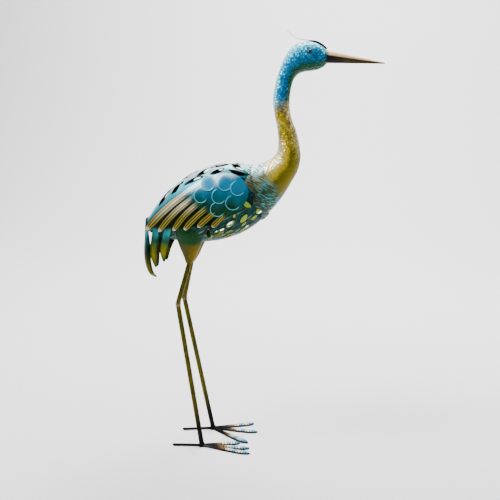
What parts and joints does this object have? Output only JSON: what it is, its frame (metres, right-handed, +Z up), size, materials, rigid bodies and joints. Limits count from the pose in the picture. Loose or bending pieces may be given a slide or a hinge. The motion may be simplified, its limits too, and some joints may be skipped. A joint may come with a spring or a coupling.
{
  "type": "metal crane garden statue",
  "caption": "Standing metal crane for the garden: pierced egg body, long curved neck, straight beak, layered wings, hanging tail feathers, thin bent legs and spread feet.",
  "frame": {"origin": "on the ground, under the middle of the whole statue's box", "axes": "+X the way the beak points, +Y the bird's left, +Z up"},
  "size_m": [0.572, 0.192, 1.0005],
  "materials": {
    "back_blue": "satin, pearl blue-white with teal under the wings, pierced",
    "neck_blue_to_gold": "satin, hammered, cerulean blue head fading to speckled gold",
    "beak_tan": "satin, tan above and dark brown below",
    "crest_navy": "satin navy",
    "eye_gloss": "gloss, dark navy",
    "wing_teal_and_gold": "satin, blue scales and gold feather ridges over teal",
    "thigh_teal_to_gold": "satin, teal fading to olive gold",
    "leg_bronze": "satin, dark olive bronze, black at the ankle",
    "foot_black_to_blue": "satin, black fading to cream and pale blue tips",
    "tail_teal_to_gold": "satin, teal fading to olive gold"
  },
  "bodies": {
    "root": {"body_shell": "back_blue", "neck_and_head": "neck_blue_to_gold", "beak": "beak_tan", "crest_plume": "crest_navy", "eye_right": "eye_gloss", "eye_left": "eye_gloss", "wing_right": "wing_teal_and_gold", "wing_left": "wing_teal_and_gold", "thigh_right": "thigh_teal_to_gold", "thigh_left": "thigh_teal_to_gold", "leg_right": "leg_bronze", "leg_left": "leg_bronze", "foot_right": "foot_black_to_blue", "foot_left": "foot_black_to_blue", "tail_feather_centre": "tail_teal_to_gold", "tail_feather_right_rear": "tail_teal_to_gold", "tail_feather_left_rear": "tail_teal_to_gold", "tail_feather_right_front": "tail_teal_to_gold", "tail_feather_left_front": "tail_teal_to_gold"}
  },
  "joints": []
}
